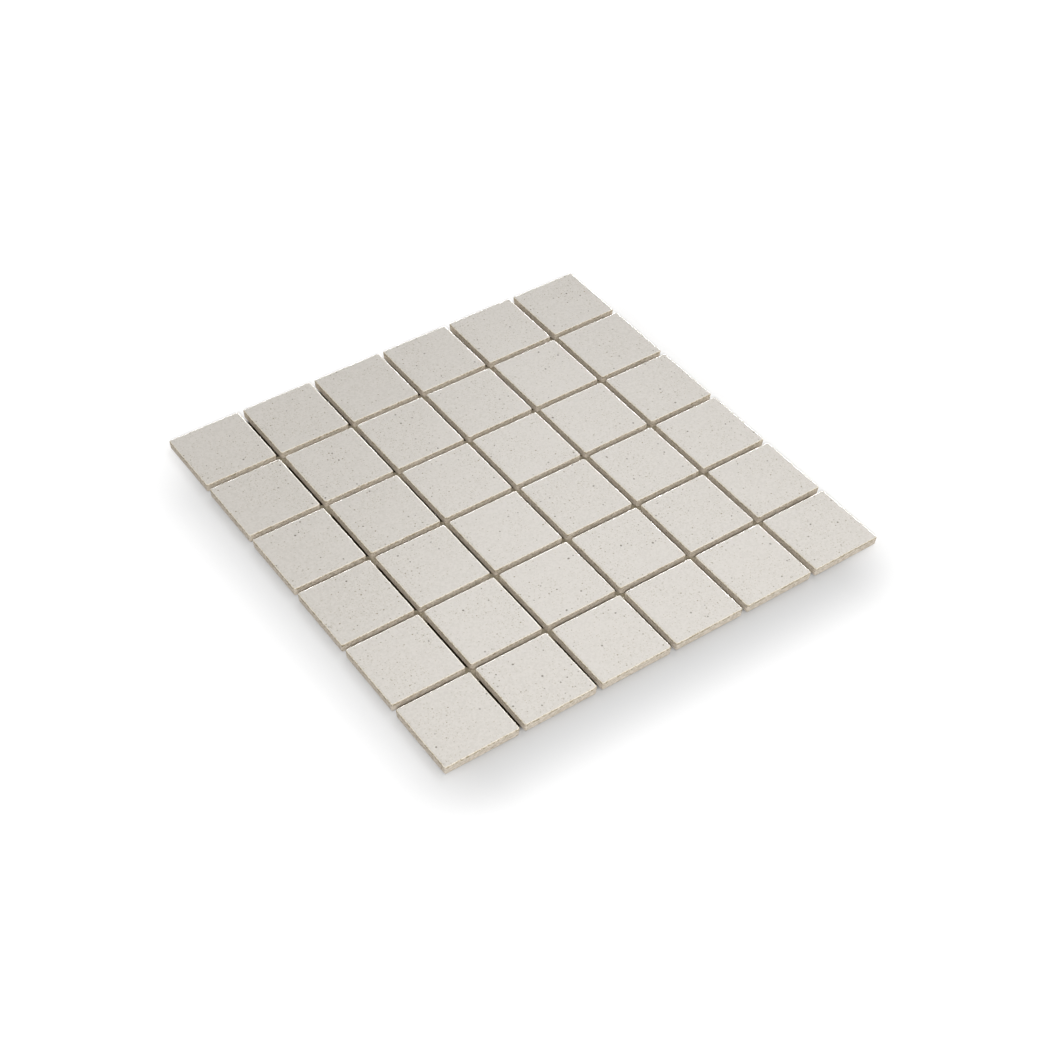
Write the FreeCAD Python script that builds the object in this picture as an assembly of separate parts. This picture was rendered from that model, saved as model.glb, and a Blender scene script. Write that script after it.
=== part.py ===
"""Mosaic tile sheet: square speckled porcelain tiles, joined by soft dots at the crossings of their joints.

The sheet lies face up. Origin: the middle of the sheet, on the plane that it rests on. X and Y run along the
joints, and Z is up. All sizes are in millimetres.
"""
import FreeCAD, Part
import os

# the sheet
TILES_PER_SIDE = 6
JOINT_WIDTH = 3.0

# one tile, pressed with its face up
TILE_SIDE = 48.0
TILE_THICKNESS = 6.0
CORNER_RADIUS = 1.2
FACE_EDGE_RADIUS = 0.6
SIDE_DRAFT = 0.35

# the panel sunk into a tile's back, which keys it into the bedding adhesive
BACK_RIM = 6.5
BACK_PANEL_DEPTH = 0.5

# one joining dot: a flat pad under four tile corners, with a root that stands in the joints between them
DOT_RADIUS = 6.5
DOT_THICKNESS = 0.6
ROOT_REACH = 5.5
ROOT_HEIGHT = 1.6

PITCH = TILE_SIDE + JOINT_WIDTH
BACK_SIDE = TILE_SIDE - 2 * SIDE_DRAFT
BACK_Z = DOT_THICKNESS
FACE_Z = BACK_Z + TILE_THICKNESS


def along_side(index):
    """Place of a tile's centre along one side of the sheet, counted from 0."""
    return (index - (TILES_PER_SIDE - 1) / 2) * PITCH


def centred_box(length, width, low, high):
    """A block about the Z axis, from one height to another."""
    corner = FreeCAD.Vector(-length / 2, -width / 2, low)
    return Part.makeBox(length, width, high - low, corner)


def section_bar():
    """A bar along Y with the section of a tile, longer than a tile. Its two sides lean in towards the back."""
    outline = [
        FreeCAD.Vector(-BACK_SIDE / 2, -TILE_SIDE, BACK_Z),
        FreeCAD.Vector(BACK_SIDE / 2, -TILE_SIDE, BACK_Z),
        FreeCAD.Vector(TILE_SIDE / 2, -TILE_SIDE, FACE_Z),
        FreeCAD.Vector(-TILE_SIDE / 2, -TILE_SIDE, FACE_Z),
    ]
    section = Part.Face(Part.makePolygon(outline + outline[:1]))
    return section.extrude(FreeCAD.Vector(0, 2 * TILE_SIDE, 0))


def round_face_edges(bar):
    """The bar with the two long edges of its face made round."""
    middle = (BACK_Z + FACE_Z) / 2
    long_edges = [e for e in bar.Edges if e.BoundBox.YLength > TILE_SIDE]
    return bar.makeFillet(FACE_EDGE_RADIUS, [e for e in long_edges if e.BoundBox.ZMin > middle])


def crossing(bar):
    """What the bar and the same bar turned a quarter share: a square block with the bar's section both ways."""
    turned = bar.copy()
    turned.rotate(FreeCAD.Vector(0, 0, 0), FreeCAD.Vector(0, 0, 1), 90)
    return bar.common(turned)


def round_corners(block):
    """The block with the four edges that run from its back to its face made round."""
    standing_edges = [e for e in block.Edges if e.BoundBox.ZLength > TILE_THICKNESS / 2]
    return block.makeFillet(CORNER_RADIUS, standing_edges)


def make_tile(bar):
    """One tile, centred on the Z axis, with round face edges, round corners and a sunk back panel."""
    block = crossing(bar)
    corner_waste = block.cut(round_corners(block))
    panel_side = BACK_SIDE - 2 * BACK_RIM
    panel = centred_box(panel_side, panel_side, BACK_Z, BACK_Z + BACK_PANEL_DEPTH)
    return crossing(round_face_edges(bar)).cut([corner_waste, panel])


def make_dot(block):
    """One joining dot, centred on the Z axis. Its root fills the joints up to the four tiles' leaning sides."""
    pad = Part.makeCylinder(DOT_RADIUS, DOT_THICKNESS)
    widest_joint = PITCH - BACK_SIDE
    root_top = BACK_Z + ROOT_HEIGHT
    bar_along_x = centred_box(2 * ROOT_REACH, widest_joint, 0, root_top)
    bar_along_y = centred_box(widest_joint, 2 * ROOT_REACH, 0, root_top)
    tiles = []
    for x in (-PITCH / 2, PITCH / 2):
        for y in (-PITCH / 2, PITCH / 2):
            tiles.append(block.translated(FreeCAD.Vector(x, y, 0)))
    return pad.fuse([bar_along_x, bar_along_y]).removeSplitter().cut(tiles)


def save(shape, name):
    """Write one node and print what it is."""
    if not shape.isValid():
        raise ValueError(name + " is not a valid shape")
    shape.exportStep(os.path.join("parts", name + ".step"))
    print(name, len(shape.Solids), "solids", round(shape.Volume, 1), "mm3")


def save_tiles(tile):
    """Every tile of the sheet, each in its own node."""
    for row in range(TILES_PER_SIDE):
        for column in range(TILES_PER_SIDE):
            place = FreeCAD.Vector(along_side(column), along_side(row), 0)
            save(tile.translated(place), f"tile_row{row + 1}_col{column + 1}")


def save_dots(dot):
    """A dot at every inner crossing. The dots along one joint share a node."""
    for row in range(TILES_PER_SIDE - 1):
        y = along_side(row) + PITCH / 2
        dots = []
        for column in range(TILES_PER_SIDE - 1):
            x = along_side(column) + PITCH / 2
            dots.append(dot.translated(FreeCAD.Vector(x, y, 0)))
        save(Part.makeCompound(dots), f"joint_dots_row{row + 1}")


def main():
    os.makedirs("parts", exist_ok=True)
    bar = section_bar()
    save_tiles(make_tile(bar))
    save_dots(make_dot(crossing(bar)))


main()
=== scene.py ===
"""Mosaic tile sheet: square tiles of speckled porcelain, joined by poured dots where their joints cross.

The sheet lies face up on white ground, and the camera looks down on it from one corner. Everything is in
metres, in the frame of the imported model: the origin is the middle of the sheet, on the ground, and Z is up.
Inside the materials, sizes and depths are in millimetres.
"""
import math

import bpy
from bpy.props import FloatProperty, FloatVectorProperty, PointerProperty
from bpy.types import NodeSocket, Operator, Panel, PropertyGroup
from mathutils import Matrix, Vector


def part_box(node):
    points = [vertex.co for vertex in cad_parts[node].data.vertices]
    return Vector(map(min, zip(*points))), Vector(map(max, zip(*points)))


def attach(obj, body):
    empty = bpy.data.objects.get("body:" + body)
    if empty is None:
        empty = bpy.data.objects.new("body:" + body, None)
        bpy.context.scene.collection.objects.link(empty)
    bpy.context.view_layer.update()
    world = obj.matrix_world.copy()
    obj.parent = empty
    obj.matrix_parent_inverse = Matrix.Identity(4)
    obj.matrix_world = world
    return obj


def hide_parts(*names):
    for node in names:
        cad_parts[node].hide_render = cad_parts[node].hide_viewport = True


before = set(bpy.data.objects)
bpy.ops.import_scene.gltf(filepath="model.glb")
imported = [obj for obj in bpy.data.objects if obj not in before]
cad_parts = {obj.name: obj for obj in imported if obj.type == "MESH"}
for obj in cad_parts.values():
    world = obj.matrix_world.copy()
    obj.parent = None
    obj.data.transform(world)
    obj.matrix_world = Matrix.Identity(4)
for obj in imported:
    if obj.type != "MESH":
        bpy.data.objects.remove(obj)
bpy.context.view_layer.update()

bl_info = {
    "name": "Mosaic tile sheet",
    "version": (1, 0, 0),
    "blender": (4, 5, 0),
    "location": "View3D > Sidebar > Tile sheet",
    "description": "Lays a sheet of speckled porcelain tiles with its joining dots",
    "category": "Mesh",
}

MM = 0.001
PER_MM = 1 / MM

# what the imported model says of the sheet
TILE_NODES = [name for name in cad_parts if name.startswith("tile_row")]
TILES_PER_SIDE = round(math.sqrt(len(TILE_NODES)))
FIRST_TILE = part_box("tile_row1_col1")
NEXT_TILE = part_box("tile_row1_col2")
PITCH = NEXT_TILE[0].x - FIRST_TILE[0].x
FACE_HALF = (FIRST_TILE[1].x - FIRST_TILE[0].x) / 2
BACK_Z = FIRST_TILE[0].z
FACE_Z = FIRST_TILE[1].z
FIRST_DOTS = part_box("joint_dots_row1")
DOT_RADIUS = (FIRST_DOTS[1].y - FIRST_DOTS[0].y) / 2
ROOT_TOP = FIRST_DOTS[1].z


def linear(hex_colour):
    """An sRGB hex colour as linear red, green and blue."""
    channels = [int(hex_colour[place:place + 2], 16) / 255 for place in (0, 2, 4)]
    return tuple(c / 12.92 if c <= 0.04045 else ((c + 0.055) / 1.055) ** 2.4 for c in channels)


def length(name, description, value):
    """A size that is never below zero, in metres."""
    return FloatProperty(
        name=name, description=description, default=value, min=0, precision=5, unit="LENGTH")


def offset(name, description, value):
    """A place along an axis, in metres."""
    return FloatProperty(name=name, description=description, default=value, precision=5, unit="LENGTH")


def angle(name, description, degrees):
    """An angle, given in degrees."""
    return FloatProperty(name=name, description=description, default=math.radians(degrees), unit="ROTATION")


def power(name, description, watts):
    """The power of a lamp."""
    return FloatProperty(name=name, description=description, default=watts, min=0, unit="POWER")


def colour(name, description, hex_colour):
    """A colour of the sheet or of its ground."""
    return FloatVectorProperty(
        name=name, description=description, default=linear(hex_colour), min=0, max=1, subtype="COLOR")


class TileShape(PropertyGroup):
    """Sizes of one tile"""
    edge_radius: length("Face edge radius", "Round along the edges of the face", 0.6 * MM)
    shoulder: length("Shoulder", "Width of the soft fall of the glaze before that round", 0.7 * MM)
    corner_radius: length("Corner radius", "Round of the four standing corners", 1.2 * MM)
    side_draft: length("Side draft", "How far each side leans in towards the back", 0.35 * MM)
    foot_radius: length("Back edge radius", "Round along the edges of the back", 0.8 * MM)
    back_rim: length("Back rim", "Width of the flat rim round the back panel", 6.5 * MM)
    panel_depth: length("Panel depth", "Depth of the panel sunk into the back", 0.5 * MM)
    rib_height: length("Rib height", "Height of the keying ribs in the back panel", 0.3 * MM)
    unevenness: length("Unevenness", "How far the pressed surface wanders", 0.07 * MM)
    waviness: length("Waviness", "Distance from one hump of the surface to the next", 7 * MM)
    twist: angle("Twist", "How far a tile may lie turned", 0.12)


class TileFinish(PropertyGroup):
    """Colours of a tile"""
    glaze: colour("Glaze", "Satin glaze of the face", "CCC7C0")
    glaze_cloud: colour("Glaze cloud", "Darker clouds in the glaze", "C1BCB4")
    # painted highlight: the lighter glaze along the edge stands in for the edge's shine, as well as for glaze
    # that gathers there
    glaze_pool_and_highlight: colour("Glaze pool", "Glaze that gathers along the edge", "DDD6C8")
    glaze_rim: colour("Glaze rim", "Thin glaze over the edge, where the body shows through", "B4A78E")
    tan_speck: colour("Tan speck", "Smallest specks in the glaze", "968A6A")
    brown_speck: colour("Brown speck", "Middling specks in the glaze", "6C5E38")
    dark_speck: colour("Dark speck", "Largest and strongest specks in the glaze", "3F3114")
    clay_rim: colour("Clay rim", "Body just below the glaze, stained by it", "8A7D63")
    clay: colour("Clay", "Bare body of the sides and back", "E4D9CA")
    clay_shade: colour("Clay shade", "Darker streaks of the bare body", "C5B9A7")
    clay_grain: colour("Clay grain", "Brown grains in the bare body", "7A6753")


class DotShape(PropertyGroup):
    """Sizes of one joining dot"""
    root_reach: length("Root reach", "How far the root runs along each joint", 5.5 * MM)
    meniscus: length("Meniscus", "How far the root's top dips between the tiles", 0.3 * MM)
    droop: length("Droop", "How far the root's top falls towards its ends", 0.6 * MM)
    unevenness: length("Unevenness", "How far the poured rim wanders", 0.7 * MM)
    waviness: length("Waviness", "Distance from one bulge of the rim to the next", 5 * MM)


class DotFinish(PropertyGroup):
    """Colours of the joining dots"""
    plastic: colour("Plastic", "Milky plastic of the dots", "A79E8B")
    plastic_cloud: colour("Plastic cloud", "Denser clouds in the plastic", "8F8571")


class StageSet(PropertyGroup):
    """Ground, light and camera"""
    ground: colour("Ground", "White ground round the sheet", "C7C7C7")
    # painted shade: the ground under the sheet is dark, so that the joints between the tiles look shaded
    painted_joint_shade: colour("Covered ground", "Ground under the sheet, as dark as its joints look", "3A322B")
    ground_lift: FloatProperty(name="Ground lift", description="Glow that turns the lit ground white",
                               default=0.5, min=0)
    # the glow's hole round the sheet is a painted shadow, over the real shadow that the lamps cast
    lift_reach: length("Lift reach", "Over what distance that glow grows at the shadow's edge", 74 * MM)
    sky_level: FloatProperty(name="Sky level", description="Light from all sides", default=0.28, min=0)
    low_level: power("Low lamp", "Power of the wide lamp low behind the sheet", 380)
    back_level: power("Back lamp", "Power of the lamp high behind the sheet", 16.5)
    right_level: power("Right lamp", "Power of the lamp above the right side", 4)
    left_level: power("Left lamp", "Power of the lamp above the left side", 0.5)
    front_level: power("Front lamp", "Power of the small low lamp farther off at the right", 3)
    key_level: power("Key lamp", "Power of the lamp on the camera's side, which lights the joints", 19.4)
    view_azimuth: angle("View azimuth", "Where the camera stands, turned from the sheet's -Y side", -36.61)
    view_elevation: angle("View elevation", "How steeply the camera looks down", 44.71)
    view_roll: angle("View roll", "How far the camera is turned about its own axis", 1.92)
    view_distance: length("View distance", "From the camera to the point it looks at", 1114.5 * MM)
    view_x: offset("Aim X", "Where the camera looks, along X", -13.9 * MM)
    view_y: offset("Aim Y", "Where the camera looks, along Y", -27.7 * MM)
    lens: FloatProperty(name="Focal length", description="In millimetres, on a 36 mm sensor", default=65.6,
                        min=1)


MATH = "ShaderNodeMath"
VECTOR_MATH = "ShaderNodeVectorMath"
EASE = "ShaderNodeMapRange"
MIX = "ShaderNodeMix"
NOISE = "ShaderNodeTexNoise"
WHOLE = None

# sockets that share a name with others of their node, by their place
SHARE, NUMBER_A, NUMBER_B, COLOUR_A, COLOUR_B = 0, 2, 3, 6, 7
MIXED_COLOUR = 2
LEAST, MOST = 2, 3
DRAWN_NUMBER = 1


def add(tree, kind, inputs=None, output=0, **settings):
    """Add a node with settings and inputs, and return one output, or all of them where output is WHOLE."""
    made = tree.nodes.new(kind)
    for name, value in settings.items():
        setattr(made, name, value)
    for name, value in (inputs or {}).items():
        if isinstance(value, NodeSocket):
            tree.links.new(value, made.inputs[name])
        else:
            made.inputs[name].default_value = value
    if output is WHOLE:
        return made.outputs
    return made.outputs[output] if made.outputs else made


def rgba(colour_value):
    """A colour as a node's colour socket takes it."""
    return (*colour_value, 1.0)


def new_material(name):
    """A material, its own empty tree, and the place on the object in millimetres."""
    material = bpy.data.materials.new(name)
    material.use_nodes = True
    tree = material.node_tree
    tree.nodes.clear()
    place = add(tree, "ShaderNodeTexCoord", output="Object")
    return material, tree, add(tree, VECTOR_MATH, {"Vector": place, "Scale": PER_MM}, operation="SCALE")


def finish_material(tree, settings, height):
    """The surface of a material from its shader's sockets and its relief in millimetres."""
    bump = add(tree, "ShaderNodeBump", {"Strength": 1.0, "Distance": MM, "Height": height})
    shader = add(tree, "ShaderNodeBsdfPrincipled", {**settings, "Normal": bump})
    add(tree, "ShaderNodeOutputMaterial", {"Surface": shader})


# a noise's values hardly leave the span between these two, and each finer octave is this much weaker
NOISE_LOW = 0.35
NOISE_HIGH = 0.65
OCTAVE_FALL = 0.6


def clouds(tree, place, size, weakest=0.0, strongest=1.0, detail=4.0):
    """Soft patches of a size in millimetres, with a value from weakest to strongest."""
    humps = add(tree, NOISE, {
        "Vector": place, "Scale": 1 / size, "Detail": detail, "Roughness": OCTAVE_FALL})
    return add(tree, EASE, {
        "Value": humps, "From Min": NOISE_LOW, "From Max": NOISE_HIGH,
        "To Min": weakest, "To Max": strongest}, interpolation_type="SMOOTHSTEP")


# a grain's least size and least strength as shares of the most, and where its soft rim begins
LEAST_SIZE = 0.5
LEAST_STRENGTH = 0.5
SOFT_RIM = 0.6


def specks(tree, place, spacing, radius, share, dimensions="3D"):
    """Grains in a share of the cells of a spacing, in millimetres, up to a radius and of mixed strength."""
    cells = add(tree, "ShaderNodeTexVoronoi", {"Vector": place, "Scale": 1 / spacing}, WHOLE,
                voronoi_dimensions=dimensions)
    lot = add(tree, "ShaderNodeSeparateColor", {0: cells["Color"]}, WHOLE)
    least = LEAST_SIZE * radius / spacing
    spare = (1 - LEAST_SIZE) * radius / spacing
    size = add(tree, MATH, {0: lot[0], 1: spare, 2: least}, operation="MULTIPLY_ADD")
    reach = add(tree, MATH, {0: cells["Distance"], 1: size}, operation="DIVIDE")
    disc = add(tree, EASE, {
        "Value": reach, "From Min": SOFT_RIM, "From Max": 1.0, "To Min": 1.0, "To Max": 0.0},
        interpolation_type="SMOOTHSTEP")
    absent = add(tree, MATH, {0: share, 1: -1.0, 2: 1.0}, operation="MULTIPLY_ADD")
    there = add(tree, MATH, {0: lot[1], 1: absent}, operation="GREATER_THAN")
    strength = add(tree, MATH, {0: lot[2], 1: 1 - LEAST_STRENGTH, 2: LEAST_STRENGTH},
                   operation="MULTIPLY_ADD")
    kept = add(tree, MATH, {0: disc, 1: there}, operation="MULTIPLY")
    return add(tree, MATH, {0: kept, 1: strength}, operation="MULTIPLY")


def sprinkle(tree, grains, strength, base, grain_colour):
    """A colour with grains of another on it."""
    share = add(tree, MATH, {0: grains, 1: strength}, operation="MULTIPLY")
    return add(tree, MIX, {SHARE: share, COLOUR_A: base, COLOUR_B: rgba(grain_colour)}, MIXED_COLOUR,
               data_type="RGBA")


def give_way(tree, depth, span, above, below):
    """A colour that gives way to another over a span of depths below the face, in millimetres."""
    start, end = span
    share = add(tree, EASE, {"Value": depth, "From Min": start, "From Max": end},
                interpolation_type="SMOOTHSTEP")
    return add(tree, MIX, {SHARE: share, COLOUR_A: above, COLOUR_B: below}, MIXED_COLOUR, data_type="RGBA")


# how much lighter or darker the firing may leave a whole tile, as a share of the step from cloud to glaze
FIRING_SHARE = 0.2

# how the specks are pushed out of round: humps of the push in a millimetre, and how far it pushes
PUSH_SCALE = 1.6
PUSH = 0.7


def glaze_colour(tree, place, finish):
    """Warm white glaze with faint clouds, and specks of three sizes that crowd here and thin out there."""
    firing = add(tree, "ShaderNodeAttribute", output="Fac", attribute_name="firing")
    tone = add(tree, MATH, {0: firing, 1: FIRING_SHARE, 2: clouds(tree, place, size=1.5, weakest=0.2)},
               operation="MULTIPLY_ADD")
    shade = add(tree, MIX, {SHARE: tone, COLOUR_A: rgba(finish.glaze_cloud), COLOUR_B: rgba(finish.glaze)},
                MIXED_COLOUR, data_type="RGBA")
    push = add(tree, NOISE, {"Vector": place, "Scale": PUSH_SCALE}, "Color")
    pushed = add(tree, VECTOR_MATH, {0: push, 1: (PUSH, PUSH, 0.0), 2: place}, operation="MULTIPLY_ADD")
    crowd = clouds(tree, place, size=26.0, weakest=0.3, strongest=1.45, detail=1.0)
    # spacing and radius in millimetres, share of the cells that hold a speck, strength and colour. The
    # finest specks of such a glaze are too fine to show, so the first layer is drawn coarser than they are.
    layers = (
        (1.7, 0.46, 0.55, 0.55, finish.tan_speck),
        (4.2, 0.62, 0.32, 0.75, finish.brown_speck),
        (8.0, 0.84, 0.19, 0.85, finish.dark_speck),
    )
    for spacing, radius, share, strength, speck_colour in layers:
        present = add(tree, MATH, {0: crowd, 1: share}, operation="MULTIPLY")
        grains = specks(tree, pushed, spacing, radius, present, "2D")
        shade = sprinkle(tree, grains, strength, shade, speck_colour)
    return shade


# how many times flatter than wide the press leaves the streaks and grains of the body
PRESSED_FLAT = 2.4


def clay_colour(tree, place, finish):
    """Bare pressed body: cream, with level streaks and flattened brown grains from the press."""
    level = add(tree, VECTOR_MATH, {0: place, 1: (1.0, 1.0, PRESSED_FLAT)}, operation="MULTIPLY")
    streaks = clouds(tree, level, size=2.2)
    body = add(tree, MIX, {SHARE: streaks, COLOUR_A: rgba(finish.clay), COLOUR_B: rgba(finish.clay_shade)},
               MIXED_COLOUR, data_type="RGBA")
    grains = specks(tree, level, spacing=2.2, radius=1.1, share=0.5)
    return sprinkle(tree, grains, strength=0.75, base=body, grain_colour=finish.clay_grain)


# spans of depth below the face over which one finish gives way to the next, in millimetres
POOL_AND_HIGHLIGHT_STARTS = (0.06, 0.14)
RIM_STARTS = (0.22, 0.36)
GLAZE_ENDS = (0.48, 0.62)
STAIN_ENDS = (0.95, 1.5)

# how ragged the glaze's lower edge is: its full height in millimetres, and its humps in a millimetre
RAGGED = 1.1
RAGGED_SCALE = 0.9

BODY_ROUGHNESS = 0.85


def speckled_porcelain(finish):
    """Glazed porcelain: a satin speckled face that rolls over its edges, and a bare, streaked body."""
    material, tree, place = new_material("speckled_glazed_porcelain")
    height = add(tree, "ShaderNodeSeparateXYZ", {0: place}, "Z")
    depth = add(tree, MATH, {0: FACE_Z * PER_MM, 1: height}, operation="SUBTRACT")
    wander = add(tree, NOISE, {
        "Vector": place, "Scale": RAGGED_SCALE, "Detail": 3.0, "Roughness": OCTAVE_FALL})
    lowered = add(tree, MATH, {0: wander, 1: RAGGED, 2: depth}, operation="MULTIPLY_ADD")
    ragged = add(tree, MATH, {0: lowered, 1: RAGGED / 2}, operation="SUBTRACT")
    # a lighter line along each edge: glaze that pools there, and a painted highlight of the edge
    pool_and_highlight = give_way(tree, depth, POOL_AND_HIGHLIGHT_STARTS, glaze_colour(tree, place, finish), rgba(finish.glaze_pool_and_highlight))
    glaze = give_way(tree, ragged, RIM_STARTS, pool_and_highlight, rgba(finish.glaze_rim))
    stain = clouds(tree, place, size=2.0, strongest=0.9)
    stained = add(tree, MATH, {0: ragged, 1: stain}, operation="ADD")
    body = give_way(tree, stained, STAIN_ENDS, rgba(finish.clay_rim), clay_colour(tree, place, finish))
    colour_here = give_way(tree, ragged, GLAZE_ENDS, glaze, body)

    start, end = GLAZE_ENDS
    glazed = add(tree, EASE, {
        "Value": ragged, "From Min": start, "From Max": end, "To Min": 1.0, "To Max": 0.0})
    clay_relief = clouds(tree, place, size=0.5, strongest=0.1)
    glaze_relief = clouds(tree, place, size=0.9, strongest=0.008)
    relief = add(tree, MIX, {SHARE: glazed, NUMBER_A: clay_relief, NUMBER_B: glaze_relief})
    satin = clouds(tree, place, size=3.0, weakest=0.19, strongest=0.25)
    rough = add(tree, MIX, {SHARE: glazed, NUMBER_A: BODY_ROUGHNESS, NUMBER_B: satin})
    finish_material(tree, {"Base Color": colour_here, "Roughness": rough, "IOR": 1.55}, relief)
    return material


def milky_plastic(finish):
    """Soft poured plastic: milky and a little brown, with a waxy sheen that lets a little light in."""
    material, tree, place = new_material("milky_poured_plastic")
    denser = clouds(tree, place, size=2.5)
    colour_here = add(tree, MIX, {
        SHARE: denser, COLOUR_A: rgba(finish.plastic), COLOUR_B: rgba(finish.plastic_cloud)},
        MIXED_COLOUR, data_type="RGBA")
    settings = {"Base Color": colour_here, "Roughness": 0.42, "Subsurface Weight": 0.25,
                "Subsurface Radius": (1.0, 1.0, 0.8), "Subsurface Scale": 1.2 * MM}
    finish_material(tree, settings, clouds(tree, place, size=0.8, strongest=0.015))
    return material


# how finely a square outline is drawn, on its sides and on half of each corner
FLAT_STEPS = 28
TURN_STEPS = 3
SQUARE_STEPS = FLAT_STEPS + 2 * TURN_STEPS


def arc(centre_x, centre_y, radius, start, end, steps):
    """Points along an arc, from one angle in degrees to just before another."""
    angles = [math.radians(start + (end - start) * step / steps) for step in range(steps)]
    return [(centre_x + radius * math.cos(a), centre_y + radius * math.sin(a)) for a in angles]


def line(start, end, steps):
    """Points along a line, from its start to just before its end."""
    return [tuple(a + (b - a) * step / steps for a, b in zip(start, end)) for step in range(steps)]


def four_times(points):
    """Points of one quarter, and the same turned about the origin by each further quarter."""
    turned = [points]
    for _ in range(3):
        turned.append([(-y, x) for x, y in turned[-1]])
    return [point for quarter in turned for point in quarter]


def rounded_square(half, radius):
    """Points round a square with round corners, from the middle of one corner."""
    c = half - radius
    quarter = arc(-c, -c, radius, 225, 270, TURN_STEPS)
    quarter += line((-c, -half), (c, -half), FLAT_STEPS)
    quarter += arc(c, -c, radius, 270, 315, TURN_STEPS)
    return four_times(quarter)


class Shell:
    """Points and faces of a closed mesh while it is built from ring to ring.

    Each point has a give from 0 to 1, which says how much of the surface's unevenness it takes.
    """

    def __init__(self):
        self.points = []
        self.faces = []
        self.give = []

    def ring(self, outline, height, give=1.0):
        """Add the points of an outline. height is a number or a function of x and y."""
        first = len(self.points)
        for x, y in outline:
            self.points.append((x, y, height(x, y) if callable(height) else height))
            self.give.append(give)
        return list(range(first, len(self.points)))

    def bridge(self, upper, lower):
        """Faces between two rings. Seen from outside, the first ring is above the second."""
        count = len(upper)
        for here in range(count):
            there = (here + 1) % count
            self.faces.append((upper[here], lower[here], lower[there], upper[there]))

    def point_cap(self, ring, height, upward):
        """Close a ring with a fan to one point on the Z axis."""
        middle = self.ring([(0.0, 0.0)], height, self.give[ring[0]])[0]
        for here, point in enumerate(ring):
            other = ring[(here + 1) % len(ring)]
            self.faces.append((point, other, middle) if upward else (other, point, middle))

    def square_cap(self, ring, upward, lift=None):
        """Close a ring round a square with a grid. lift may move its inner points, by column and row."""
        steps = len(ring) // 4
        table = {}
        for step in range(steps):
            table[step, 0] = ring[step]
            table[steps, step] = ring[steps + step]
            table[steps - step, steps] = ring[2 * steps + step]
            table[0, steps - step] = ring[3 * steps + step]
        for column in range(1, steps):
            for row in range(1, steps):
                place = self.between(table, column, row, steps)
                if lift:
                    place = lift(place, column, row)
                table[column, row] = len(self.points)
                self.points.append(tuple(place))
                self.give.append(1.0)
        for column in range(steps):
            for row in range(steps):
                corners = [table[column, row], table[column + 1, row],
                           table[column + 1, row + 1], table[column, row + 1]]
                self.faces.append(tuple(corners if upward else reversed(corners)))

    def between(self, table, column, row, steps):
        """Where a grid point lies between the four sides of its square."""
        across, along = column / steps, row / steps

        def at(*key):
            return Vector(self.points[table[key]])

        sides = at(0, row).lerp(at(steps, row), across) + at(column, 0).lerp(at(column, steps), along)
        first_side = at(0, 0).lerp(at(steps, 0), across)
        last_side = at(0, steps).lerp(at(steps, steps), across)
        return sides - first_side.lerp(last_side, along)

    def mesh(self, name):
        """The finished mesh, smooth all over."""
        mesh = bpy.data.meshes.new(name)
        mesh.from_pydata(self.points, [], self.faces)
        mesh.attributes.new("give", "FLOAT", "POINT").data.foreach_set("value", self.give)
        mesh.shade_smooth()
        return mesh


# how finely a tile's section is drawn
SHOULDER_STEPS = 6
EDGE_STEPS = 6
SIDE_STEPS = 5

# the glaze falls ever faster over the shoulder, by this power, until it leans by this angle
SHOULDER_POWER = 1.4
SHOULDER_ANGLE = math.radians(27)

# a ring this far from an edge keeps the smooth shading of the edge off the flat beside it
SUPPORT = 0.25 * MM
LEAST_CORNER = 0.15 * MM

# the sunk panel's round corners, the round at the top and foot of its wall, and how far the sides of a rib
# move towards each other, in columns of the grid
PANEL_CORNER = 2.0 * MM
PANEL_EASE = 0.06 * MM
RIB_PULL = 0.33


def tile_section(shell, shape):
    """Rings from the face of a tile, over its edge and down its side, to the rim of its back."""
    edge, foot = shape.edge_radius, shape.foot_radius

    def outer(height, inset):
        lean = shape.side_draft * (FACE_Z - height) / (FACE_Z - BACK_Z)
        corner = max(shape.corner_radius - inset / 2, LEAST_CORNER)
        return shell.ring(rounded_square(FACE_HALF - lean - inset, corner), height)

    edge_inset = edge * (1 - math.sin(SHOULDER_ANGLE))
    shoulder_drop = shape.shoulder * math.tan(SHOULDER_ANGLE) / SHOULDER_POWER
    rings = [outer(FACE_Z, edge_inset + shape.shoulder + SUPPORT)]
    for step in range(SHOULDER_STEPS + 1):
        share = step / SHOULDER_STEPS
        height = FACE_Z - shoulder_drop * share ** SHOULDER_POWER
        rings.append(outer(height, edge_inset + shape.shoulder * (1 - share)))
    for step in range(1, EDGE_STEPS + 1):
        turn = SHOULDER_ANGLE + (math.pi / 2 - SHOULDER_ANGLE) * step / EDGE_STEPS
        drop = shoulder_drop + edge * (math.cos(SHOULDER_ANGLE) - math.cos(turn))
        rings.append(outer(FACE_Z - drop, edge * (1 - math.sin(turn))))
    side_top = FACE_Z - shoulder_drop - edge * math.cos(SHOULDER_ANGLE)
    side_foot = BACK_Z + foot
    for step in range(1, SIDE_STEPS + 1):
        rings.append(outer(side_top + (side_foot - side_top) * step / SIDE_STEPS, 0.0))
    for step in range(1, TURN_STEPS + 1):
        turn = math.pi / 2 * step / TURN_STEPS
        rings.append(outer(BACK_Z + foot * (1 - math.sin(turn)), foot * (1 - math.cos(turn))))
    rings.append(outer(BACK_Z, foot + SUPPORT))
    return rings


def panel_wall(shell, panel_half, depth):
    """Rings from the rim of a tile's back up the short wall of its sunk panel."""
    steps = ((-SUPPORT, 0.0), (0.0, PANEL_EASE), (SUPPORT, depth - PANEL_EASE), (2 * SUPPORT, depth))
    rings = []
    for inset, height in steps:
        outline = rounded_square(panel_half - inset, PANEL_CORNER - inset)
        rings.append(shell.ring(outline, BACK_Z + height))
    return rings


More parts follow.
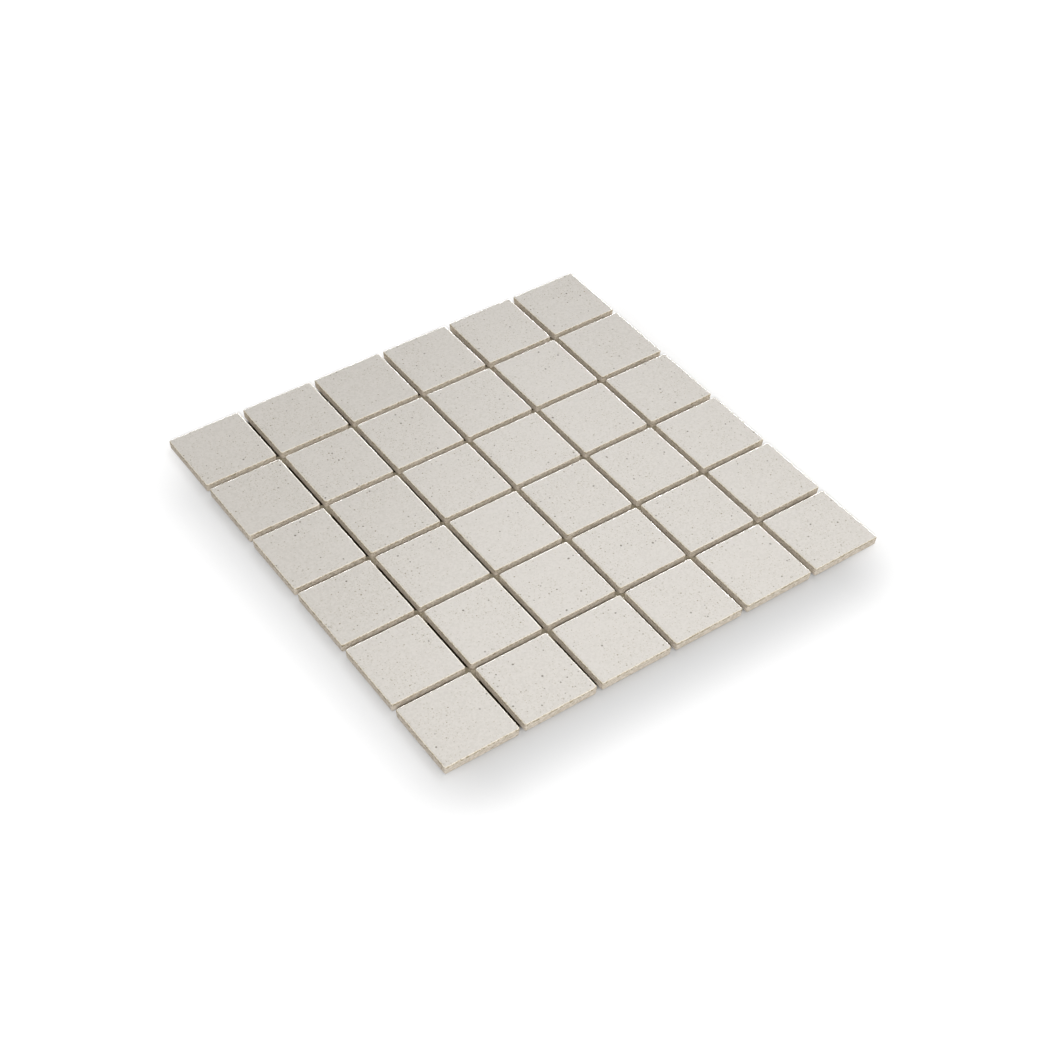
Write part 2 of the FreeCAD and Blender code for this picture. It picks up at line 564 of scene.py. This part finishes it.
def tile_mesh(shape):
    """One tile about the Z axis: round face edges, leaning sides, round foot, and a ribbed back panel."""
    shell = Shell()
    panel_half = FACE_HALF - shape.side_draft - shape.back_rim
    rings = tile_section(shell, shape) + panel_wall(shell, panel_half, shape.panel_depth)
    for upper, lower in zip(rings, rings[1:]):
        shell.bridge(upper, lower)

    pull = RIB_PULL * 2 * panel_half / SQUARE_STEPS

    def rib(place, column, row):
        """Pull the columns together in pairs, and lower every second strip between them to a rib."""
        margin = TURN_STEPS + 1
        if margin <= min(column, row) and max(column, row) <= SQUARE_STEPS - margin:
            phase = (column - margin) % 4
            place.x += pull if phase % 2 == 0 else -pull
            if phase in (1, 2):
                place.z -= shape.rib_height
        return place

    shell.square_cap(rings[0], True)
    shell.square_cap(rings[-1], False, rib)
    return shell.mesh("tile")


# how finely a dot is drawn: the round tips, straight arms and hollow corners of its root, and its rim
TIP_STEPS = 5
ARM_STEPS = 4
HOLLOW_STEPS = 6
RIM_STEPS = 6

# the root's round top edge, and the fillet where it stands on the pad
TOP_INSET = 0.2 * MM
EDGE_INSET = 0.12 * MM
EDGE_DROP = 0.15 * MM
FOOT_SPREAD = 0.25 * MM

# the rings down the root's wall by their height, and those on its top by their size, as shares of the whole
WALL_LEVELS = (0.6, 0.3, 0.1)
TOP_SCALES = (0.85, 0.6, 0.3)

# how much of the unevenness each part of a dot takes: the rim wanders freely, and the flat underside hardly
ROOT_GIVE = 0.2
RIM_GIVE = 1.0
UNDERSIDE_GIVE = 0.3


def cross_outline(half_width, reach, hollow):
    """Points round a plus with round arms and hollow inner corners, from the tip of its first arm."""
    inner = half_width + hollow
    quarter = arc(reach - half_width, 0.0, half_width, 0, 90, TIP_STEPS)
    quarter += line((reach - half_width, half_width), (inner, half_width), ARM_STEPS)
    quarter += arc(inner, inner, hollow, 270, 180, HOLLOW_STEPS)
    quarter += line((half_width, inner), (half_width, reach - half_width), ARM_STEPS)
    quarter += arc(0.0, reach - half_width, half_width, 0, 90, TIP_STEPS)
    return four_times(quarter)


def dot_mesh(shape, tile):
    """One poured dot about the Z axis: a flat pad with a bulging rim, and a root among four tiles."""
    shell = Shell()

    def half_joint(height):
        return PITCH / 2 - FACE_HALF + tile.side_draft * (FACE_Z - height) / (FACE_Z - BACK_Z)

    def root(height, inset=0.0):
        half_width = half_joint(height) - inset
        return cross_outline(half_width, shape.root_reach - inset, tile.corner_radius + inset)

    directions = [math.atan2(y, x) for x, y in root(BACK_Z)]

    def circle(radius):
        return [(radius * math.cos(a), radius * math.sin(a)) for a in directions]

    wall = half_joint(ROOT_TOP)

    def root_top(x, y):
        nearness = min(min(abs(x), abs(y)) / wall, 1.0)
        dip = shape.meniscus * (1 - nearness ** 2)
        return ROOT_TOP - dip - shape.droop * (math.hypot(x, y) / shape.root_reach) ** 2

    bulge = BACK_Z / 2
    rings = []
    for inset in (TOP_INSET, EDGE_INSET):
        rings.append(shell.ring(root(ROOT_TOP, inset), root_top, ROOT_GIVE))
    rings.append(shell.ring(root(ROOT_TOP), lambda x, y: root_top(x, y) - EDGE_DROP, ROOT_GIVE))
    for level in WALL_LEVELS:
        def part_way(x, y, level=level):
            return BACK_Z + level * (root_top(x, y) - BACK_Z)
        rings.append(shell.ring(root(BACK_Z + level * (ROOT_TOP - BACK_Z)), part_way, ROOT_GIVE))
    rings.append(shell.ring(root(BACK_Z, -FOOT_SPREAD), BACK_Z, ROOT_GIVE))
    for step in range(RIM_STEPS + 1):
        turn = math.pi * step / RIM_STEPS
        radius = DOT_RADIUS - bulge * (1 - math.sin(turn))
        rings.append(shell.ring(circle(radius), bulge * (1 + math.cos(turn)), RIM_GIVE))
    rings.append(shell.ring(circle(DOT_RADIUS - 3 * bulge), 0.0, UNDERSIDE_GIVE))
    rings.append(shell.ring(circle(DOT_RADIUS / 2), 0.0, 0.0))
    for upper, lower in zip(rings, rings[1:]):
        shell.bridge(upper, lower)
    inner = rings[0]
    for scale in TOP_SCALES:
        outline = [(x * scale, y * scale) for x, y in root(ROOT_TOP, TOP_INSET)]
        closer = shell.ring(outline, root_top, ROOT_GIVE)
        shell.bridge(closer, inner)
        inner = closer
    shell.point_cap(inner, root_top, True)
    shell.point_cap(rings[-1], 0.0, False)
    return shell.mesh("dot")


# keeps the draw of a tile's firing apart from the draw of its turn
FIRING_SEED_STEP = 100.0


def laid_row_tree():
    """A tree that lays a row of one piece along X, turns each a little, and makes its surface uneven."""
    tree = bpy.data.node_groups.new("laid_row", "GeometryNodeTree")
    tree.is_modifier = True
    sockets = {"Piece": "Geometry", "Count": "Int", "First": "Vector", "Step": "Vector", "Seed": "Int",
               "Twist": "Float", "Unevenness": "Float", "Waviness": "Float", "Finish": "Material"}
    for name, kind in sockets.items():
        tree.interface.new_socket(name, in_out="INPUT", socket_type="NodeSocket" + kind)
    tree.interface.new_socket("Row", in_out="OUTPUT", socket_type="NodeSocketGeometry")
    given = add(tree, "NodeGroupInput", output=WHOLE)

    places = add(tree, "GeometryNodeMeshLine", {
        "Count": given["Count"], "Start Location": given["First"], "Offset": given["Step"]})
    least = add(tree, MATH, {0: given["Twist"], 1: -1.0}, operation="MULTIPLY")
    turn = add(tree, "FunctionNodeRandomValue", {LEAST: least, MOST: given["Twist"], "Seed": given["Seed"]},
               DRAWN_NUMBER)
    rotation = add(tree, "ShaderNodeCombineXYZ", {"Z": turn})
    row = add(tree, "GeometryNodeInstanceOnPoints", {
        "Points": places, "Instance": given["Piece"], "Rotation": rotation})
    firing_seed = add(tree, MATH, {0: given["Seed"], 1: FIRING_SEED_STEP}, operation="ADD")
    firing = add(tree, "FunctionNodeRandomValue", {"Seed": firing_seed}, DRAWN_NUMBER)
    marked = add(tree, "GeometryNodeStoreNamedAttribute", {
        "Geometry": row, "Name": "firing", "Value": firing}, domain="INSTANCE")
    real = add(tree, "GeometryNodeRealizeInstances", {"Geometry": marked})

    position = add(tree, "GeometryNodeInputPosition")
    normal = add(tree, "GeometryNodeInputNormal")
    give = add(tree, "GeometryNodeInputNamedAttribute", {"Name": "give"})
    scale = add(tree, MATH, {0: 1.0, 1: given["Waviness"]}, operation="DIVIDE")
    humps = add(tree, NOISE, {"Vector": position, "Scale": scale, "Detail": 1.5})
    depth = add(tree, MATH, {0: humps, 1: given["Unevenness"]}, operation="MULTIPLY")
    pull = add(tree, MATH, {0: depth, 1: give}, operation="MULTIPLY")
    back = add(tree, MATH, {0: pull, 1: -1.0}, operation="MULTIPLY")
    inward = add(tree, VECTOR_MATH, {0: normal, "Scale": back}, operation="SCALE")
    uneven = add(tree, "GeometryNodeSetPosition", {"Geometry": real, "Offset": inward})
    finished = add(tree, "GeometryNodeSetMaterial", {"Geometry": uneven, "Material": given["Finish"]})
    add(tree, "NodeGroupOutput", {"Row": finished})
    return tree


def laid_row(name, piece, tree, values):
    """Run the tree on a piece, and keep its result as a plain mesh at the origin."""
    row = bpy.data.objects.new(name, piece)
    bpy.context.scene.collection.objects.link(row)
    modifier = row.modifiers.new("Laid row", "NODES")
    modifier.node_group = tree
    for item in tree.interface.items_tree:
        if item.name in values:
            modifier[item.identifier] = values[item.name]
    graph = bpy.context.evaluated_depsgraph_get()
    made = row.evaluated_get(graph)
    result = bpy.data.meshes.new_from_object(made, preserve_all_data_layers=True, depsgraph=graph)
    result.name = name
    row.modifiers.clear()
    row.data = result
    return row


class TILESHEET_OT_lay_tiles(Operator):
    """Lay the tiles, row by row"""
    bl_idname = "tile_sheet.lay_tiles"
    bl_label = "Lay tiles"

    def execute(self, context):
        sheet = context.scene.tile_sheet
        shape = sheet.tile_shape
        piece = tile_mesh(shape)
        tree = laid_row_tree()
        porcelain = speckled_porcelain(sheet.tile_finish)
        for row in range(1, TILES_PER_SIDE + 1):
            low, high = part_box(f"tile_row{row}_col1")
            middle = (low + high) / 2
            tiles = laid_row(f"tiles_row{row}", piece, tree, {
                "Count": TILES_PER_SIDE, "First": (middle.x, middle.y, 0.0), "Step": (PITCH, 0.0, 0.0),
                "Seed": row, "Twist": shape.twist, "Unevenness": shape.unevenness,
                "Waviness": shape.waviness, "Finish": porcelain})
            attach(tiles, "root")
            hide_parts(*[f"tile_row{row}_col{column + 1}" for column in range(TILES_PER_SIDE)])
        return {"FINISHED"}


class TILESHEET_OT_pour_dots(Operator):
    """Pour the dots that join the tiles, one row for each joint along X"""
    bl_idname = "tile_sheet.pour_dots"
    bl_label = "Pour dots"

    def execute(self, context):
        sheet = context.scene.tile_sheet
        shape = sheet.dot_shape
        piece = dot_mesh(shape, sheet.tile_shape)
        tree = laid_row_tree()
        plastic = milky_plastic(sheet.dot_finish)
        for row in range(1, TILES_PER_SIDE):
            low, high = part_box(f"joint_dots_row{row}")
            first = (low.x + DOT_RADIUS, (low.y + high.y) / 2, 0.0)
            dots = laid_row(f"poured_dots_row{row}", piece, tree, {
                "Count": TILES_PER_SIDE - 1, "First": first, "Step": (PITCH, 0.0, 0.0),
                "Seed": row, "Twist": 0.0, "Unevenness": shape.unevenness,
                "Waviness": shape.waviness, "Finish": plastic})
            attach(dots, "root")
            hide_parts(f"joint_dots_row{row}")
        return {"FINISHED"}


def seen(tree):
    """1 where the camera, a reflection or glass looks, 0 where light is gathered."""
    path = add(tree, "ShaderNodeLightPath", output=WHOLE)
    direct = add(tree, MATH, {0: path["Is Camera Ray"], 1: path["Is Glossy Ray"]}, operation="MAXIMUM")
    return add(tree, MATH, {0: direct, 1: path["Is Transmission Ray"]}, operation="MAXIMUM")


def light_the_world(stage):
    """Even light from all sides, seen as white."""
    world = bpy.data.worlds.new("studio")
    world.use_nodes = True
    tree = world.node_tree
    tree.nodes.clear()
    level = add(tree, EASE, {"Value": seen(tree), "To Min": stage.sky_level})
    sky = add(tree, "ShaderNodeBackground", {"Color": (1, 1, 1, 1), "Strength": level})
    add(tree, "ShaderNodeOutputWorld", {"Surface": sky})
    bpy.context.scene.world = world


# half of the sheet with its share of the joints round it, in millimetres
SHEET_HALF = PER_MM * TILES_PER_SIDE * PITCH / 2

# where the ground painted dark as shade for the joints ends and the white ground is whole, both just inside
# the sheet's outline
DARK_TO = SHEET_HALF - 8
WHITE_FROM = SHEET_HALF - 4

# between these distances from the sheet's middle the glow grows by this factor, because the light falls off
GLOW_FROM = SHEET_HALF + 20
GLOW_TO = SHEET_HALF + 400
GLOW_GROWTH = 1.8

# the core of the painted shadow, where the ground gets no glow: it lies off towards -X and -Y and is smaller
# than the sheet, in millimetres
PAINTED_SHADOW_X = -7.0
PAINTED_SHADOW_Y = -24.0
PAINTED_SHADOW_HALF = SHEET_HALF - 34

# the glow has already begun by this much at the core's edge
HEAD_START = 6.0


def outside_painted_shadow(tree, place, reach):
    """A painted shadow over the real one that the lamps cast: 0 on its core, where the ground's glow is held
    back, growing to 1 at a reach from it. The core's corners spread in rounds.
    """
    from_middle = add(tree, VECTOR_MATH, {0: place, 1: (-PAINTED_SHADOW_X, -PAINTED_SHADOW_Y, 0.0)}, operation="ADD")
    folded = add(tree, VECTOR_MATH, {0: from_middle}, operation="ABSOLUTE")
    past_core = add(tree, VECTOR_MATH, {0: folded, 1: (PAINTED_SHADOW_HALF, PAINTED_SHADOW_HALF, 0.0)}, operation="SUBTRACT")
    outside = add(tree, VECTOR_MATH, {0: past_core, 1: (0.0, 0.0, 0.0)}, operation="MAXIMUM")
    distance = add(tree, VECTOR_MATH, {0: outside}, "Value", operation="LENGTH")
    return add(tree, EASE, {"Value": distance, "From Min": -HEAD_START, "From Max": reach - HEAD_START},
               interpolation_type="SMOOTHSTEP")


def ground_paper(stage):
    """White paper: matt, painted dark under the sheet as shade for the joints, and lifted to white for the
    camera past a painted shadow.
    """
    material, tree, place = new_material("white_paper")
    along = add(tree, "ShaderNodeSeparateXYZ", {0: place}, WHOLE)
    off_x = add(tree, MATH, {0: along["X"]}, operation="ABSOLUTE")
    off_y = add(tree, MATH, {0: along["Y"]}, operation="ABSOLUTE")
    outward = add(tree, MATH, {0: off_x, 1: off_y}, operation="MAXIMUM")
    # painted shade: dark ground under the sheet, so that less light rises into the joints and they look
    # shaded
    bare = add(tree, EASE, {"Value": outward, "From Min": DARK_TO, "From Max": WHITE_FROM})
    colour_here = add(tree, MIX, {SHARE: bare, COLOUR_A: rgba(stage.painted_joint_shade), COLOUR_B: rgba(stage.ground)},
                      MIXED_COLOUR, data_type="RGBA")
    paper = add(tree, "ShaderNodeBsdfDiffuse", {"Color": colour_here})

    # painted shadow: the ground's glow is held back round the sheet, reaching farthest towards -X and -Y
    clear = outside_painted_shadow(tree, place, PER_MM * stage.lift_reach)
    strength = add(tree, EASE, {"Value": outward, "From Min": GLOW_FROM, "From Max": GLOW_TO,
                                "To Min": stage.ground_lift, "To Max": GLOW_GROWTH * stage.ground_lift})
    open_ground = add(tree, MATH, {0: bare, 1: seen(tree)}, operation="MULTIPLY")
    whole = add(tree, MATH, {0: clear, 1: strength}, operation="MULTIPLY")
    glow = add(tree, MATH, {0: open_ground, 1: whole}, operation="MULTIPLY")
    lift = add(tree, "ShaderNodeEmission", {"Strength": glow})
    both = add(tree, "ShaderNodeAddShader", {0: paper, 1: lift})
    add(tree, "ShaderNodeOutputMaterial", {"Surface": both})
    return material


# half of the ground, far past what the camera sees
GROUND_HALF = 6.0


def lay_ground(stage):
    """The flat ground that the sheet lies on."""
    mesh = bpy.data.meshes.new("ground")
    corners = four_times([(-GROUND_HALF, -GROUND_HALF)])
    mesh.from_pydata([(x, y, 0.0) for x, y in corners], [], [(0, 1, 2, 3)])
    mesh.materials.append(ground_paper(stage))
    ground = bpy.data.objects.new("ground", mesh)
    bpy.context.scene.collection.objects.link(ground)


def aim(thing, place, target, roll=0.0):
    """Put a lamp or a camera at a place, looking at a target, turned about its own axis by roll."""
    look = (Vector(target) - Vector(place)).to_track_quat("-Z", "Y").to_matrix().to_4x4()
    thing.matrix_world = Matrix.Translation(place) @ look @ Matrix.Rotation(roll, 4, "Z")


def round_sheet(stage, turn, distance, height):
    """A place round the sheet, turned in degrees from the camera's side towards the picture's right."""
    azimuth = stage.view_azimuth + math.radians(turn)
    return Vector((distance * math.sin(azimuth), -distance * math.cos(azimuth), height))


def add_lamp(name, watts, place, width, tall):
    """A soft panel lamp that looks at the middle of the sheet."""
    light = bpy.data.lights.new(name, "AREA")
    light.energy = watts
    light.shape = "RECTANGLE"
    light.size = width
    light.size_y = tall
    lamp = bpy.data.objects.new(name, light)
    bpy.context.scene.collection.objects.link(lamp)
    aim(lamp, place, (0, 0, 0))


def light_the_sheet(stage):
    """The lamps. The low one makes the far edges of the tiles shine, and the key lights the joints."""
    place = round_sheet(stage, turn=171, distance=6.0, height=0.5)
    add_lamp("lamp_low", stage.low_level, place, width=8.0, tall=0.5)
    place = round_sheet(stage, turn=152, distance=1.7, height=2.2)
    add_lamp("lamp_back", stage.back_level, place, width=2.4, tall=1.2)
    place = round_sheet(stage, turn=58, distance=0.75, height=0.95)
    add_lamp("lamp_right", stage.right_level, place, width=1.0, tall=1.0)
    place = round_sheet(stage, turn=-90, distance=0.6, height=0.8)
    add_lamp("lamp_left", stage.left_level, place, width=0.6, tall=0.6)
    place = round_sheet(stage, turn=58, distance=2.5, height=0.6)
    add_lamp("lamp_front", stage.front_level, place, width=0.12, tall=0.5)
    place = round_sheet(stage, turn=0, distance=1.6, height=1.2)
    add_lamp("lamp_key", stage.key_level, place, width=0.19, tall=0.19)


def add_camera(stage):
    """The camera above the sheet's near corner, a little tilted."""
    data = bpy.data.cameras.new("camera")
    data.lens = stage.lens
    data.sensor_width = 36.0
    camera = bpy.data.objects.new("camera", data)
    bpy.context.scene.collection.objects.link(camera)
    level = stage.view_distance * math.cos(stage.view_elevation)
    target = Vector((stage.view_x, stage.view_y, FACE_Z))
    place = target + round_sheet(stage, 0, level, stage.view_distance * math.sin(stage.view_elevation))
    aim(camera, place, target, stage.view_roll)
    bpy.context.scene.camera = camera


class TILESHEET_OT_set_stage(Operator):
    """Set the white ground, the studio light and the camera"""
    bl_idname = "tile_sheet.set_stage"
    bl_label = "Set stage"

    def execute(self, context):
        stage = context.scene.tile_sheet.stage
        light_the_world(stage)
        lay_ground(stage)
        light_the_sheet(stage)
        add_camera(stage)
        context.scene.view_settings.view_transform = "Standard"
        return {"FINISHED"}


class TileSheet(PropertyGroup):
    """Everything that can be set on the sheet"""
    tile_shape: PointerProperty(type=TileShape)
    tile_finish: PointerProperty(type=TileFinish)
    dot_shape: PointerProperty(type=DotShape)
    dot_finish: PointerProperty(type=DotFinish)
    stage: PointerProperty(type=StageSet)


class TILESHEET_PT_sheet(Panel):
    """Sizes, colours and steps of the tile sheet"""
    bl_idname = "TILESHEET_PT_sheet"
    bl_label = "Mosaic tile sheet"
    bl_space_type = "VIEW_3D"
    bl_region_type = "UI"
    bl_category = "Tile sheet"

    def draw(self, context):
        sheet = context.scene.tile_sheet
        for group in (sheet.tile_shape, sheet.tile_finish, sheet.dot_shape, sheet.dot_finish, sheet.stage):
            box = self.layout.box()
            for name in group.__annotations__:
                box.prop(group, name)
        for step in STEPS:
            self.layout.operator(step.bl_idname)


STEPS = (TILESHEET_OT_lay_tiles, TILESHEET_OT_pour_dots, TILESHEET_OT_set_stage)
CLASSES = (TileShape, TileFinish, DotShape, DotFinish, StageSet, TileSheet, *STEPS, TILESHEET_PT_sheet)


def register():
    for cls in CLASSES:
        bpy.utils.register_class(cls)
    bpy.types.Scene.tile_sheet = PointerProperty(type=TileSheet)


def unregister():
    del bpy.types.Scene.tile_sheet
    for cls in reversed(CLASSES):
        bpy.utils.unregister_class(cls)


def main():
    register()
    bpy.ops.tile_sheet.lay_tiles()
    bpy.ops.tile_sheet.pour_dots()
    bpy.ops.tile_sheet.set_stage()


if __name__ == "__main__":
    main()
